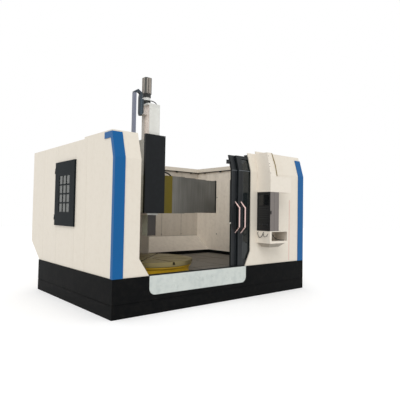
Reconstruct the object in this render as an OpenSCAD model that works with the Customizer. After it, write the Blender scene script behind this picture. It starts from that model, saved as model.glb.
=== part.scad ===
// CNC vertical lathe: a round table in an open-topped sheet-metal room on a
// skirted base, with a cross beam, a saddle and a square ram over the table.
// X runs to the right along the front, Y to the rear, Z up.
// The origin is the centre of the base's footprint on the floor.

/* [Base] */
// Width of the base along the front
machine_w = 4200; // [4000:10:4600]
// Depth of the base
machine_d = 2900; // [2800:10:3200]
// Height of the base's rim
base_h = 550; // [520:5:620]
// Height of the welded frame under the skirt
plinth_h = 200; // [150:5:260]
// Height of the seam between frame and skirt
seam_h = 8; // [4:1:12]
// Depth of that seam
seam_in = 6; // [3:1:12]
// Thickness of the skirt
skirt_t = 60; // [50:1:80]
// Width of the ledge inside the skirt that carries the chip deck
ledge_w = 40; // [30:1:60]
// Thickness of that ledge
ledge_t = 30; // [20:1:40]
// How far the chip deck lies below the rim
deck_drop = 75; // [50:1:100]
// Thickness of the chip deck
deck_t = 20; // [10:1:30]

/* [Apron] */
// Height of the bright apron plate under the doorway
apron_h = 275; // [200:1:330]
// Corner radius of the apron plate
apron_r = 100; // [40:1:120]
// Thickness of the apron plate
apron_t = 6; // [3:1:10]

/* [Enclosure] */
// Thickness of the side and rear panels
wall_t = 50; // [40:1:60]
// Thickness of the front panels
front_t = 20; // [12:1:30]
// Top of the front part
front_top = 2620; // [2600:5:2700]
// How far the rear part ends under the front's top
wall_drop = 30; // [20:5:60]
// Height at which the front starts to lean back
bend_z = 2225; // [2100:5:2300]
// How far the front leans back at its top
lean = 114; // [60:1:140]
// Depth of the higher front part
front_part = 1032; // [900:1:1200]
// How far the rear overhangs the base
rear_over = 460; // [300:5:500]
// Height at which the rear's slope ends
rear_bend_z = 880; // [800:5:1000]
// Pitch of the rear wall's sheets
sheet_pitch = 588; // [560:1:600]
// Height of the folded rail along the top
rail_h = 90; // [60:1:110]
// Depth of the folded rail
rail_d = 40; // [30:1:60]

/* [Doorway] */
// Left edge of the doorway from the left side
door_left_in = 421; // [360:1:460]
// Right edge of the doorway from the right side
door_right_in = 1509; // [1450:1:1560]
// Width of the doorway's sloped left corner
corner_left = 171; // [120:1:200]
// Width of the doorway's sloped right corner
corner_right = 124; // [90:1:160]
// Height of the doorway's sloped lower corners
corner_h = 254; // [200:1:300]

/* [Corner trims] */
// Thickness of the blue corner trims
trim_t = 12; // [6:1:16]
// Width of a trim on the front
trim_w = 162; // [120:1:200]
// Width of a trim's return on the side
trim_return = 65; // [40:1:90]
// How far the left trim ends under the front's top
trim_drop_left = 23; // [20:1:60]
// How far the right trim ends under the front's top
trim_drop_right = 70; // [40:1:100]
// Length of the left trim's tab along the side
tab_l = 335; // [250:1:400]
// Height of that tab
tab_h = 91; // [60:1:120]

/* [Side hatch] */
// Front edge of the hatch from the front of the base
hatch_in = 1320; // [1250:1:1400]
// Width of the hatch
hatch_w = 815; // [740:1:880]
// Lower edge of the hatch
hatch_low = 1218; // [1150:1:1300]
// Height of the hatch
hatch_h = 1080; // [1000:1:1150]
// Thickness of the hatch leaf
hatch_t = 28; // [20:1:34]
// How far the leaf laps over the wall
hatch_lap = 30; // [20:1:45]
// Width of the hatch window
pane_w = 448; // [400:1:500]
// Height of the hatch window
pane_h = 608; // [540:1:660]
// Front edge of the window from the hatch's front edge
pane_in = 190; // [150:1:220]
// Lower edge of the window from the hatch's lower edge
pane_up = 232; // [200:1:260]
// Thickness of the glass panes
glass_t = 8; // [5:1:12]
// Heights of the hatch hinges
hinge_z = [1356, 2155];
// Radius of a hinge barrel
barrel_r = 11; // [9:0.5:13]
// Radius of a hinge pin
pin_r = 6; // [4:0.5:7]
// Radial play of a hinge pin
pin_play = 0.05; // [0.03:0.01:0.1]
// Height of each half of a hinge barrel
barrel_h = 45; // [35:1:60]

/* [Doors] */
// Thickness of a door leaf
leaf_t = 40; // [30:1:45]
// How far a leaf is wider than half the doorway
leaf_lap = 65; // [55:1:90]
// How far the door leaves end under the front's top
leaf_drop = 125; // [110:5:140]
// How far the right front is cut down over the parked doors
notch_drop = 55; // [40:1:70]
// Width of that lower part beside the riser
notch_w = 60; // [30:1:90]
// How far the parked inner leaf shows in the doorway
inner_show = 405; // [380:1:440]
// How far the parked outer leaf shows in the doorway
outer_show = 285; // [260:1:330]
// Width of a leaf's frame
stile_w = 110; // [80:1:180]
// Gap between sliding sheets
slide_gap = 6; // [5:0.5:8]
// Gap where a moving piece rests on its guide
seat_gap = 0.3; // [0.2:0.05:0.5]
// Depth of the door rail behind the sill
rail_block_d = 70; // [60:1:90]
// Width of a door's track rib
rib_w = 12; // [8:1:20]
// Height of a door's track rib
rib_h = 5; // [5:0.5:8]
// Length of a door handle
handle_l = 516; // [450:1:560]
// How far a handle stands out
handle_out = 97; // [80:1:130]
// Radius of a handle's bar
handle_r = 16; // [9:0.5:18]
// Place of the inner handle from its leaf's left edge
inner_grip = 96; // [80:1:120]
// Place of the outer handle from its leaf's left edge
outer_grip = 70; // [60:1:100]
// Lower end of the handles
handle_z = 1144; // [1100:1:1200]
// Width of the roller bracket on the inner leaf
bracket_w = 75; // [50:1:90]
// Height of that bracket
bracket_h = 70; // [50:1:90]
// Lower edge of that bracket
bracket_z = 2335; // [2300:1:2380]
// Height of the door guide under the top of the front
guide_h = 34; // [20:1:50]

/* [Table] */
// Middle of the table from the left side
table_in = 1194; // [1150:1:1230]
// Middle of the table from the front
table_back = 992; // [960:1:1020]
// Radius of the table
table_r = 750; // [700:5:760]
// Height of the table's top
table_top = 685; // [670:1:720]
// Thickness of the table's full disc
disc_t = 25; // [20:1:35]
// Height of the slotted face on the disc
face_h = 45; // [40:1:55]
// Number of T slots
slot_n = 8; // [4:2:12]
// Width of a T slot at the top
slot_w = 28; // [22:1:32]
// Width of a T slot's foot
slot_foot = 50; // [44:1:60]
// Height of a T slot's foot
foot_h = 22; // [16:1:24]
// Outer radius of the pilot ring in the middle
pilot_r = 120; // [90:1:150]
// Radius of the centre bore
bore_r = 40; // [30:1:50]
// Depth of the centre bore
bore_l = 170; // [100:1:200]
// Radius of the spindle under the table
spindle_r = 200; // [150:1:240]
// Length of the spindle under the table
spindle_l = 280; // [200:1:300]
// Radius of the table's cast base
casting_r = 700; // [650:1:720]
// Height of the collar at the casting's top
collar_h = 45; // [30:1:60]
// How far that collar stands out
collar_out = 30; // [20:1:40]
// Gap between the table and its casting
table_gap = 8; // [5:0.5:12]

/* [Column and beam] */
// Width of the column
column_w = 988; // [900:1:1050]
// Front face of the column behind the middle of the table
column_back = 788; // [770:1:850]
// Room behind the column
column_room = 250; // [200:1:320]
// Top of the column
column_top = 2400; // [2300:5:2450]
// Thickness of the white sheets round the column
sheet_t = 15; // [8:1:20]
// Reach of the beam to the left of the table
beam_left_l = 994; // [980:1:1010]
// Reach of the beam to the right of the table
beam_right_l = 1626; // [1600:1:1660]
// Room between the saddle face and the beam for the covers
cover_room = 40; // [38:1:46]
// Underside of the beam
beam_low = 1490; // [1485:1:1500]
// Top of the beam
beam_top = 2095; // [2080:1:2100]
// Thickness of the beam's end plates
end_t = 24; // [16:1:30]

/* [Saddle] */
// Width of the saddle
saddle_w = 1108; // [1060:1:1140]
// Lower edge of the saddle and of the covers
cover_low = 1450; // [1445:1:1452]
// Upper edge of the saddle and of the covers
cover_top = 2135; // [2133:1:2140]
// Reach of the saddle's claws over and under the beam
claw_d = 115; // [80:1:140]
// Thickness of the ram's guide tower
tower_t = 50; // [40:1:60]
// Top of the guide tower
tower_top = 2700; // [2600:5:2750]
// Width of a guide pad beside the ram
pad_h = 200; // [150:1:250]

/* [Beam covers] */
// Thickness of the cover sheets
cover_t = 3; // [2:0.5:3]
// Step from one cover sheet to the next
cover_step = 9; // [8.5:0.5:9]
// Overlap of the right cover sheets at rest
right_lap = 24; // [22:1:26]
// Length of a cover sheet on the left
left_l = 330; // [325:1:340]
// Width of a cover's wiper lip
lip_w = 14; // [10:1:20]
// Depth of a cover's return over the beam
cover_return = 90; // [60:1:110]

/* [Ram] */
// Width of the ram
ram_w = 216; // [200:1:230]
// Depth of the ram
ram_d = 202; // [180:1:206]
// Underside of the ram
ram_low = 1420; // [1400:1:1440]
// Top of the ram
ram_top = 3300; // [3200:5:3400]
// Width of the tool block
tool_w = 165; // [140:1:190]
// Underside of the tool block
tool_low = 1068; // [1060:1:1100]
// Gap round the ram
ram_gap = 5; // [5:0.5:8]
// Gap behind the ram
ram_back = 8; // [6:0.5:10]
// Width of the black ram cover
hood_w = 398; // [390:1:410]
// Front of the ram cover before the middle of the ram
hood_front = 157; // [150:1:170]
// Depth of the ram cover's sides
hood_d = 54; // [45:1:150]
// Gap round the cable duct
duct_gap = 8; // [6:0.5:12]
// Thickness of the ram cover
hood_t = 5; // [3:0.5:8]
// Top of the ram cover
hood_top = 2790; // [2720:5:2800]

/* [Ram drive] */
// How far the motor stands to the left of the ram
motor_left = 69; // [50:1:80]
// How far the motor stands behind the ram
motor_back = 58; // [40:1:70]
// Width of the motor
motor_w = 140; // [110:1:150]
// Bevel of the motor's corners
motor_bevel = 26; // [15:1:35]
// Number of grooves on each side of the motor
groove_n = 3; // [1:1:4]
// Width of those grooves
groove_w = 8; // [5:1:12]
// Depth of those grooves
groove_d = 6; // [3:0.5:8]
// Height of the motor's body
motor_h = 284; // [250:1:350]
// Height of the dark adapter under the collar
adapter_h = 70; // [50:1:90]
// Height of the motor's flange
flange_h = 62; // [40:1:70]
// Height of the white collar under the flange
neck_h = 54; // [30:1:60]
// Thickness of the plate on the ram's top
top_plate = 30; // [20:1:40]

/* [Cable chain] */
// How far the chain's post stands to the left of the ram
post_left = 369; // [355:1:380]
// Width of the post
post_w = 48; // [44:1:56]
// Depth of the post
post_d = 62; // [60:1:70]
// Top of the post
post_top = 3480; // [3400:5:3520]
// Thickness of the post's sheet
post_t = 3; // [2:0.5:4]
// Width of the chain
chain_w = 54; // [44:1:55]
// Height of a chain link
chain_h = 42; // [34:1:44]
// Middle radius of the chain's loop
chain_r = 61; // [55:1:66]
// Height of the loop's middle
loop_z = 3460; // [3420:1:3470]
// Lower end of the chain inside the post
chain_low = 2700; // [2650:5:2750]
// Lower end of the chain beside the ram
chain_end = 3110; // [3090:1:3200]
// Thickness of the strip that carries the chain's moving end
strip_t = 26; // [10:1:30]
// How much wider than the chain its moving end is
end_wide = 12; // [6:1:20]
// Thickness of the plate between that strip and the ram
plate_t = 10; // [8:1:16]
// Width of the cable duct on the ram
duct_w = 22; // [16:1:26]
// Depth of the cable duct on the ram
duct_d = 63; // [50:1:70]
// Lower end of the cable duct
duct_low = 2200; // [2100:5:2400]
// Top of the cable duct above the chain's end
duct_over = 30; // [20:1:50]

/* [Operator panel] */
// Left side of the operator panel from the right side
panel_in = 1343; // [1300:1:1380]
// Front of the operator panel
panel_y = -1750; // [-1800:1:-1700]
// Lower edge of the pendant
pendant_low = 1165; // [1140:1:1200]
// Height of the pendant
pendant_h = 690; // [640:1:700]
// Width of the pendant
pendant_w = 233; // [200:1:260]
// Width of the arm over the pendant
arm_w = 573; // [520:1:620]
// Height of the arm
arm_h = 280; // [240:1:300]
// Width of the riser at its top
riser_top_w = 130; // [100:1:160]
// Width of the riser at the arm
riser_low_w = 170; // [150:1:200]
// How far the riser's front leans back to its top
riser_back = 86; // [60:1:110]
// How far the riser ends under the front's top
riser_drop = 55; // [40:1:70]
// Width of the shelf box
shelf_w = 483; // [440:1:520]
// Height of the shelf box
shelf_h = 190; // [160:1:200]
// Thickness of the shelf box's walls
shelf_t = 12; // [8:1:16]
// Place of that mouth from the box's left side
mouth_in = 45; // [30:1:80]
// Height of the tray under the shelf box
tray_h = 20; // [14:1:30]
// Depth of the tray's underside
tray_drop = 85; // [60:1:110]

/* [Hidden] */
$fn = 96;

wall_top = front_top - wall_drop;
trim_top_left = front_top - trim_drop_left;
trim_top_right = front_top - trim_drop_right;
leaf_top = front_top - leaf_drop;
notch_top = front_top - notch_drop;
riser_top = front_top - riser_drop;
half_w = machine_w / 2;
half_d = machine_d / 2;
door_left = -half_w + door_left_in;
door_right = half_w - door_right_in;
sill_left = door_left + corner_left;
sill_right = door_right - corner_right;
step_y = -half_d + front_part;
hatch_front = -half_d + hatch_in;
leaf_w = (door_right - door_left) / 2 + leaf_lap;
inner_x = door_right - inner_show;
outer_x = door_right - outer_show;
table_x = -half_w + table_in;
table_y = -half_d + table_back;
column_x = table_x - column_w / 2;
column_y = table_y + column_back;
column_d = half_d - column_room - column_y;
cover_y = table_y + ram_d / 2 + ram_back;
beam_y = cover_y + cover_room;
beam_left = table_x - beam_left_l;
beam_right = table_x + beam_right_l;
saddle_x = table_x - saddle_w / 2;
hood_y = table_y - hood_front;
motor_x = table_x - motor_left;
motor_y = table_y + motor_back;
post_x = table_x - post_left;
panel_x = half_w - panel_in;
side_x = half_w - trim_t;
inner_side_x = side_x - wall_t;
front_y = -half_d + trim_t;
front_back_y = front_y + front_t;
rear_y = half_d + rear_over;
deck_z = base_h - deck_drop;
inner_w = machine_w - 2 * skirt_t;
inner_d = machine_d - 2 * skirt_t;

// How far the leaning front has gone back at height z
function lean_at(z) = z <= bend_z ? 0 : lean * (z - bend_z) / (front_top - bend_z);

// Outline, in Y and Z, of a sheet that follows the front's bend
function bent(y, t, low, top) = [
    [y, low], [y, bend_z], [y + lean_at(top), top],
    [y + t + lean_at(top), top], [y + t, bend_z], [y + t, low]
];

outer_y = front_back_y + slide_gap;
inner_y = outer_y + leaf_t + slide_gap;
leaf_low = base_h + rib_h + seat_gap;
hatch_x = -side_x - seat_gap - hatch_t;
hatch_rear = hatch_front + hatch_w;
hinge_x = hatch_x + hatch_t / 2;
hinge_y = hatch_rear + 26;

disc_low = table_top - face_h - disc_t;
casting_top = disc_low - table_gap;

saddle_right = saddle_x + saddle_w;
right_l = (beam_right - saddle_right + 3 * right_lap) / 4;
left_step = (saddle_x - beam_left - left_l) / 3;
saddle_back = beam_y - slide_gap + 1;
hood_x = table_x + 1 - hood_w / 2;
cheek_w = hood_w / 2 - hood_t - ram_w / 2 - ram_gap;
ram_x = table_x - ram_w / 2;
ram_y = table_y - ram_d / 2;
cheek_front = hood_y + hood_t;

chain_x = post_x + post_w / 2;
post_y = ram_y + ram_d / 2 - post_d / 2;
arm_low = pendant_low + pendant_h + 5;
arm_top = arm_low + arm_h;
shelf_low = pendant_low - shelf_h;

// A box from its lowest corner and its size
module block(x, y, z, w, d, h) {
    translate([x, y, z]) cube([w, d, h]);
}

// An outline in Y and Z, carried along X from x
module along_x(x, l) {
    translate([x, 0, 0]) rotate([90, 0, 90]) linear_extrude(l) children();
}

// An outline in X and Z, carried along Y from y
module along_y(y, l) {
    translate([0, y + l, 0]) rotate([90, 0, 0]) linear_extrude(l) children();
}

// Lower welded frame, with a seam under the skirt
module base_plinth() {
    color("#22231f") {
        block(-half_w, -half_d, 0, machine_w, machine_d, plinth_h - seam_h);
        block(-half_w + seam_in, -half_d + seam_in, plinth_h - seam_h,
              machine_w - 2 * seam_in, machine_d - 2 * seam_in, seam_h);
    }
}

// Section of the ledge inside a skirt
module ledge_outline() {
    translate([skirt_t, deck_z - deck_t - ledge_t]) square([ledge_w, ledge_t]);
}

// Section of a skirt's wall
module skirt_outline() {
    translate([0, plinth_h]) square([skirt_t, base_h - plinth_h]);
}

module skirt_front() {
    color("#22231f") translate([0, -half_d, 0]) {
        along_x(-half_w, machine_w) skirt_outline();
        along_x(-inner_w / 2 + ledge_w, inner_w - 2 * ledge_w) ledge_outline();
    }
}

module skirt_rear() {
    mirror([0, 1, 0]) skirt_front();
}

module side_skirts() {
    color("#22231f") for (side = [0, 1]) mirror([side, 0, 0])
        translate([-half_w, 0, 0]) along_y(-inner_d / 2, inner_d) {
            skirt_outline();
            ledge_outline();
        }
}

// Chip deck inside the base, with openings for the casting and the column
module chip_deck() {
    color("#6b6459") difference() {
        block(-inner_w / 2, -inner_d / 2, deck_z - deck_t, inner_w, inner_d, deck_t);
        translate([table_x, table_y, plinth_h]) cylinder(r = casting_r + 2, h = base_h);
        block(column_x - 2, column_y - 2, plinth_h, column_w + 4, column_d + 4, base_h);
    }
}

// Bright plate under the doorway, with round lower corners
module apron_plate() {
    color("#cbd0ca") along_y(-half_d - apron_t, apron_t) {
        for (x = [sill_left + apron_r, sill_right - apron_r])
            translate([x, base_h - apron_h + apron_r]) circle(r = apron_r);
        translate([sill_left, base_h - apron_h + apron_r])
            square([sill_right - sill_left, apron_h - apron_r]);
        translate([sill_left + apron_r, base_h - apron_h])
            square([sill_right - sill_left - 2 * apron_r, apron_r]);
    }
}

// A front panel: its outline cut from a bent sheet
module front_sheet(outline) {
    intersection() {
        along_x(-side_x, 2 * side_x) polygon(bent(front_y, front_t, base_h, front_top));
        along_y(front_y, lean + front_t + 1) polygon(outline);
    }
}

module left_front_panel() {
    color("#ddd6c8") front_sheet([
        [-side_x, base_h], [sill_left, base_h], [door_left, base_h + corner_h],
        [door_left, front_top], [-side_x, front_top]
    ]);
}

module right_front_panel() {
    color("#ddd6c8") front_sheet([
        [sill_right, base_h], [side_x, base_h], [side_x, front_top],
        [panel_x + notch_w, front_top], [panel_x + notch_w, notch_top],
        [door_right, notch_top], [door_right, base_h + corner_h]
    ]);
}

// Outline of a whole side, in Y and Z
module side_outline() {
    polygon([
        [front_back_y, base_h], [front_back_y, bend_z], [front_back_y + lean, front_top],
        [step_y, front_top], [step_y, wall_top], [rear_y, wall_top],
        [rear_y, rear_bend_z], [half_d, base_h]
    ]);
}

// The part of the left side between two places along Y
module left_side(y, l) {
    intersection() {
        along_x(-side_x, wall_t) side_outline();
        block(-side_x, y, base_h, wall_t, l, front_top - base_h);
    }
}

// The left side in front of the hatch and behind it
module left_side_panels() {
    color("#ddd6c8") {
        left_side(front_y, hatch_front + hatch_lap - front_y);
        left_side(hatch_rear - hatch_lap, rear_y - hatch_rear + hatch_lap);
    }
}

// Sheets under and over the hatch
module hatch_surround() {
    y = hatch_front + hatch_lap;
    l = hatch_w - 2 * hatch_lap;
    low = hatch_low + hatch_lap;
    high = hatch_low + hatch_h - hatch_lap;
    color("#ddd6c8") {
        block(-side_x, y, base_h, wall_t, l, low - base_h);
        block(-side_x, y, high, wall_t, l, wall_top - high);
    }
}

module right_side_panel() {
    color("#ddd6c8") along_x(inner_side_x, wall_t) side_outline();
}

// Sloped sheet from the base's rear edge out to the rear wall
module rear_slope() {
    color("#ddd6c8") along_x(-inner_side_x, 2 * inner_side_x) polygon([
        [half_d - wall_t, base_h], [half_d, base_h], [rear_y, rear_bend_z],
        [rear_y - wall_t, rear_bend_z]
    ]);
}

// A stretch of the upright rear wall
module rear_panel(x, l) {
    color("#ddd6c8")
        block(x, rear_y - wall_t, rear_bend_z, l, wall_t, wall_top - rear_bend_z);
}

rear_cut_right = half_w - 2 * sheet_pitch;
rear_cut_left = half_w - 4 * sheet_pitch;

module rear_panel_left() {
    rear_panel(-inner_side_x, rear_cut_left + inner_side_x);
}

module rear_panel_middle() {
    rear_panel(rear_cut_left, rear_cut_right - rear_cut_left);
}

module rear_panel_right() {
    rear_panel(rear_cut_right, inner_side_x - rear_cut_right);
}

// Folded rails along the top of the side and rear walls
module top_rails() {
    rear_rail_y = rear_y - wall_t - rail_d;
    side_rail_y = front_back_y + lean + 10;
    color("#ddd6c8") {
        block(-inner_side_x, rear_rail_y, wall_top - rail_h, 2 * inner_side_x, rail_d, rail_h);
        for (side = [0, 1]) mirror([side, 0, 0]) along_x(-inner_side_x, rail_d) polygon([
            [side_rail_y, wall_top - rail_h], [rear_rail_y, wall_top - rail_h],
            [rear_rail_y, wall_top], [step_y, wall_top], [step_y, front_top],
            [side_rail_y, front_top]
        ]);
    }
}

// A corner trim: a bent front strip with a return along the side
module corner_trim(top) {
    along_x(-half_w, trim_w) polygon(bent(-half_d, trim_t - seat_gap, base_h, top));
    along_x(-half_w, trim_t - seat_gap) polygon(bent(-half_d, trim_return, base_h, top));
}

module left_corner_trim() {
    color("#175a9e") {
        corner_trim(trim_top_left);
        block(-half_w, -half_d + trim_t + lean, trim_top_left - tab_h, trim_t,
              tab_l - trim_t - lean, tab_h);
    }
}

module right_corner_trim() {
    color("#175a9e") mirror([1, 0, 0]) corner_trim(trim_top_right);
}

// Fixed halves of the hatch's hinges, each with a pin that stands up
module hatch_hinges() {
    color("#3a3a38") for (z = hinge_z) {
        translate([hinge_x, hinge_y, z - barrel_h]) cylinder(r = barrel_r, h = barrel_h);
        translate([hinge_x, hinge_y, z - barrel_h]) cylinder(r = pin_r, h = 2 * barrel_h);
        block(hinge_x, hinge_y, z - barrel_h, -side_x - hinge_x, 40, barrel_h);
    }
}

// Hatch leaf with its window and the turning halves of its hinges
module hatch_leaf() {
    color("#26282a") difference() {
        union() {
            block(hatch_x, hatch_front, hatch_low, hatch_t, hatch_w, hatch_h);
            for (z = hinge_z) {
                translate([hinge_x, hinge_y, z + seat_gap])
                    cylinder(r = barrel_r, h = barrel_h - seat_gap);
                block(hinge_x - barrel_r, hatch_rear - 1, z + seat_gap, 8,
                      hinge_y - hatch_rear + 1, barrel_h - seat_gap);
            }
        }
        block(hatch_x - 1, hatch_front + pane_in, hatch_low + pane_up, hatch_t + 2,
              pane_w, pane_h);
        for (z = hinge_z) translate([hinge_x, hinge_y, z])
            cylinder(r = pin_r + pin_play, h = 2 * barrel_h);
    }
}

module hatch_glass() {
    color([0.2, 0.22, 0.24, 0.5])
        block(hatch_x + (hatch_t - glass_t) / 2, hatch_front + pane_in, hatch_low + pane_up,
              glass_t, pane_w, pane_h);
}

// Block behind the sill with a track rib under each door
module door_rail() {
    x = door_left - 20;
    l = inner_side_x - x;
    color("#2a2b2a") {
        block(x, -half_d + skirt_t, deck_z, l, rail_block_d, deck_drop);
        for (y = [outer_y, inner_y])
            block(x, y + (leaf_t - rib_w) / 2, base_h, l, rib_w, rib_h);
    }
}

// Guide over the parked doors, on the back of the right front panel
module door_guide() {
    low = leaf_top + slide_gap;
    top = low + guide_h;
    reach = inner_y + leaf_t - front_back_y + 10;
    color("#2a2b2a") along_x(door_right + 20, inner_side_x - rail_d - door_right - 25) polygon([
        [front_back_y + lean_at(low), low], [front_back_y + lean_at(top), top],
        [front_back_y + lean_at(top) + reach, top], [front_back_y + lean_at(low) + reach, low]
    ]);
}

// A door leaf's frame
module door_frame(x, y) {
    color("#202224") difference() {
        along_x(x, leaf_w) polygon(bent(y, leaf_t, leaf_low, leaf_top));
        along_y(y - 1, leaf_t + lean + 2) translate([x + stile_w, leaf_low + stile_w])
            square([leaf_w - 2 * stile_w, leaf_top - leaf_low - 1.5 * stile_w]);
    }
}

// Dark glass in a door leaf
module door_glass(x, y) {
    color([0.1, 0.11, 0.12, 0.6]) intersection() {
        along_x(x + stile_w, leaf_w - 2 * stile_w)
            polygon(bent(y + (leaf_t - glass_t) / 2, glass_t, leaf_low, leaf_top));
        block(x, y, leaf_low + stile_w, leaf_w, leaf_t + lean,
              leaf_top - leaf_low - 1.5 * stile_w);
    }
}

// A bent bar handle, cut off flat where it meets the door at y
module door_handle(x, y) {
    straight = handle_l / 2 - handle_out;
    color("#c9a9a5") translate([x, y, handle_z + handle_l / 2]) {
        translate([0, -handle_out, -straight]) cylinder(r = handle_r, h = 2 * straight);
        for (end = [0, 1]) mirror([0, 0, end]) {
            translate([0, -handle_out, straight]) sphere(r = handle_r + 1);
            intersection() {
                translate([0, -handle_out, straight]) rotate([-45, 0, 0])
                    cylinder(r = handle_r, h = handle_out / cos(45) + 3 * handle_r);
                block(-2 * handle_r, -2 * handle_out, 0, 4 * handle_r, 2 * handle_out, handle_l);
            }
        }
    }
}

// Inner leaf, with the bracket of its upper roller
module inner_door_frame() {
    door_frame(inner_x, inner_y);
    color("#202224")
        block(inner_x - bracket_w, inner_y + lean_at(bracket_z + bracket_h), bracket_z,
              bracket_w + 10, leaf_t / 2, bracket_h);
}

module inner_door_glass() {
    door_glass(inner_x, inner_y);
}

module inner_door_handle() {
    door_handle(inner_x + inner_grip, inner_y);
}

module outer_door_frame() {
    door_frame(outer_x, outer_y);
}

module outer_door_glass() {
    door_glass(outer_x, outer_y);
}

module outer_door_handle() {
    door_handle(outer_x + outer_grip, outer_y);
}

// Cast base of the table, with a bearing ring and a bore for the spindle
module table_base() {
    ring_in = casting_r * 0.7;
    ring_out = casting_r * 0.8;
    color("#b8920a") translate([table_x, table_y, 0]) rotate_extrude() polygon([
        [spindle_r + slide_gap, plinth_h + 60], [0, plinth_h + 60], [0, plinth_h],
        [casting_r, plinth_h], [casting_r, casting_top - collar_h],
        [casting_r + collar_out, casting_top - collar_h / 2],
        [casting_r + collar_out, casting_top], [ring_out, casting_top],
        [ring_out, disc_low - seat_gap], [ring_in, disc_low - seat_gap],
        [ring_in, casting_top], [spindle_r + slide_gap, casting_top]
    ]);
}

// Full disc of the table with its spindle, pilot ring and centre bore
module table_disc() {
    color("#8f8a72") translate([table_x, table_y, 0]) difference() {
        union() {
            translate([0, 0, disc_low]) cylinder(r = table_r, h = disc_t);
            translate([0, 0, disc_low]) cylinder(r = pilot_r, h = disc_t + face_h);
            translate([0, 0, disc_low - spindle_l]) cylinder(r = spindle_r, h = spindle_l + 1);
        }
        translate([0, 0, table_top - bore_l]) cylinder(r = bore_r, h = bore_l + 1);
    }
}

// Slotted face of the table: sectors with radial T slots between them
module table_face() {
    face_low = table_top - face_h;
    color("#8f8a72") translate([table_x, table_y, face_low]) difference() {
        cylinder(r = table_r, h = face_h);
        translate([0, 0, -1]) cylinder(r = pilot_r, h = face_h + 2);
        for (k = [0 : slot_n - 1]) rotate([0, 0, k * 360 / slot_n]) {
            translate([0, -slot_w / 2, -1]) cube([table_r + 10, slot_w, face_h + 2]);
            translate([0, -slot_foot / 2, -1]) cube([table_r + 10, slot_foot, foot_h + 1]);
        }
    }
}

// Cast column behind the table
module column() {
    color("#b8920a") block(column_x, column_y, plinth_h, column_w, column_d,
                           column_top - plinth_h);
}

// White sheets on the column's sides, up to the beam's covers
module column_sheets() {
    color("#d8d2c4") for (x = [column_x - sheet_t, column_x + column_w])
        block(x, column_y, deck_z, sheet_t, column_d, cover_low - deck_z);
}

module cross_beam() {
    color("#b8920a") block(beam_left, beam_y, beam_low, beam_right - beam_left,
                           column_y - beam_y, beam_top - beam_low);
}

// Plates that close the beam's ends and carry the last covers
module beam_end_plates() {
    y = cover_y + 3 * cover_step - 8;
    low = cover_low + 3 * cover_step - 8;
    high = cover_top - 3 * cover_step + 8;
    color("#3a3a38") for (x = [beam_left - end_t, beam_right])
        block(x, y, low, end_t, column_y - y, high - low);
}

// A cover sheet: front, top and bottom of a folded sheet, in Y and Z
module cover_outline(k, depth) {
    y = cover_y + k * cover_step;
    low = cover_low + k * cover_step;
    high = cover_top - k * cover_step;
    back = y + cover_return - k * cover_step;
    polygon([
        [y, low], [back, low], [back, low + depth], [y + depth, low + depth],
        [y + depth, high - depth], [back, high - depth], [back, high], [y, high]
    ]);
}

// Cover number k of a stack: a folded sheet with a wiper lip at its far end
module cover(x, l, k, lip_x) {
    color("#7d7c78") {
        along_x(x, l) cover_outline(k, cover_t);
        if (k < 3) along_x(lip_x, lip_w) cover_outline(k, cover_step - seat_gap);
    }
}

module right_cover(k) {
    x = saddle_right + k * (right_l - right_lap);
    cover(x, right_l, k, x + right_l - lip_w);
}

module left_cover(k) {
    x = saddle_x - left_l - k * left_step;
    cover(x, left_l, k, x);
}

module cover_right_1() { right_cover(0); }
module cover_right_2() { right_cover(1); }
module cover_right_3() { right_cover(2); }
module cover_right_4() { right_cover(3); }
module cover_left_1() { left_cover(0); }
module cover_left_2() { left_cover(1); }
module cover_left_3() { left_cover(2); }
module cover_left_4() { left_cover(3); }

// Saddle with claws that hold it over and under the beam
module saddle_plate() {
    color("#8f7f12") {
        block(saddle_x, cover_y, cover_low, saddle_w, saddle_back - cover_y,
              cover_top - cover_low);
        block(saddle_x, saddle_back, beam_top + seat_gap, saddle_w, claw_d,
              cover_top - beam_top - seat_gap);
        block(saddle_x, saddle_back, cover_low, saddle_w, claw_d,
              beam_low - seat_gap - cover_low);
    }
}

// Back plate of the ram's guide tower, over the saddle
module ram_tower() {
    color("#26282a") block(hood_x + hood_t, cover_y, cover_top, hood_w - 2 * hood_t, tower_t,
                           tower_top - cover_top);
}

// Cheeks on both sides of the ram, with guide pads at both ends
module ram_guides() {
    color("#3a3a38") for (side = [0, 1]) translate([table_x + side, 0, 0]) mirror([side, 0, 0]) {
        x = -ram_w / 2 - ram_gap - cheek_w + 1;
        room = duct_w + duct_gap;
        difference() {
            block(x, cheek_front, cover_low, cheek_w - 1, cover_y - cheek_front,
                  tower_top - cover_low);
            block(-ram_w / 2 - room, ram_y + ram_d - duct_d - duct_gap, cover_low - 1, room,
                  2 * ram_d, tower_top - cover_low + 2);
        }
        for (z = [cover_low + 30, tower_top - 30 - pad_h])
            block(-ram_w / 2 - ram_gap - 1, ram_y + 20, z, ram_gap + 1 - seat_gap,
                  ram_d - 40 - duct_d, pad_h);
    }
}

// Black cover in front of the ram's guides
module ram_cover() {
    color("#22262a") difference() {
        block(hood_x, hood_y, cover_low, hood_w, hood_d, hood_top - cover_low);
        block(hood_x + hood_t, hood_y + hood_t, cover_low - 1, hood_w - 2 * hood_t, hood_d,
              hood_top - cover_low + 2);
    }
}

// Open channel that the cable chain runs in
module chain_post() {
    color("#7c8090") {
        difference() {
            block(post_x, post_y, cover_top, post_w, post_d, post_top - cover_top);
            block(post_x + post_t, post_y + post_t, cover_top - 1, post_w, post_d - 2 * post_t,
                  post_top - cover_top + 2);
        }
        block(post_x, post_y + post_d, cover_top, post_w, saddle_back + claw_d - post_y - post_d,
              40);
    }
}

module ram_column() {
    color("#d8d8d2") block(ram_x, ram_y, ram_low, ram_w, ram_d, ram_top - ram_low);
}

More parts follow.
